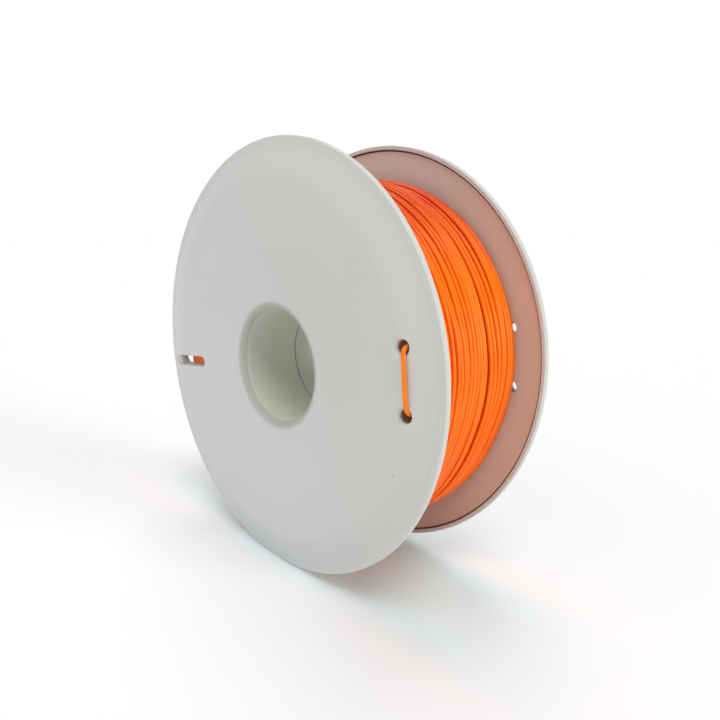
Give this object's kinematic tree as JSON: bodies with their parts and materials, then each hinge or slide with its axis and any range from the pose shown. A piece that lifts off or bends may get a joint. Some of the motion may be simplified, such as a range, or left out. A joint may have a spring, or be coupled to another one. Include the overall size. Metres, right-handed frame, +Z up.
{
  "type": "filament spool",
  "caption": "Flanged plastic spool with domed flanges, a smooth-lipped spindle bore, a slot and paired retaining holes, full of wound 1.75 mm orange filament with its end threaded.",
  "frame": {"origin": "centre of the spindle bore, on the spool axis at mid-width", "axes": "+Y along the spool axis from the front flange to the rear flange, +Z up, +X to the side of the paired retaining holes; the spool stands on its two rims"},
  "size_m": [0.2, 0.0773, 0.2],
  "materials": {
    "spool_plastic": "fine satin moulded polystyrene, light warm grey",
    "filament": "smooth extruded strand, semi-gloss, slightly translucent orange"
  },
  "bodies": {
    "root": {"front_spool_half": "spool_plastic", "rear_spool_half": "spool_plastic", "filament_winding": "filament", "filament_end": "filament"}
  },
  "joints": []
}
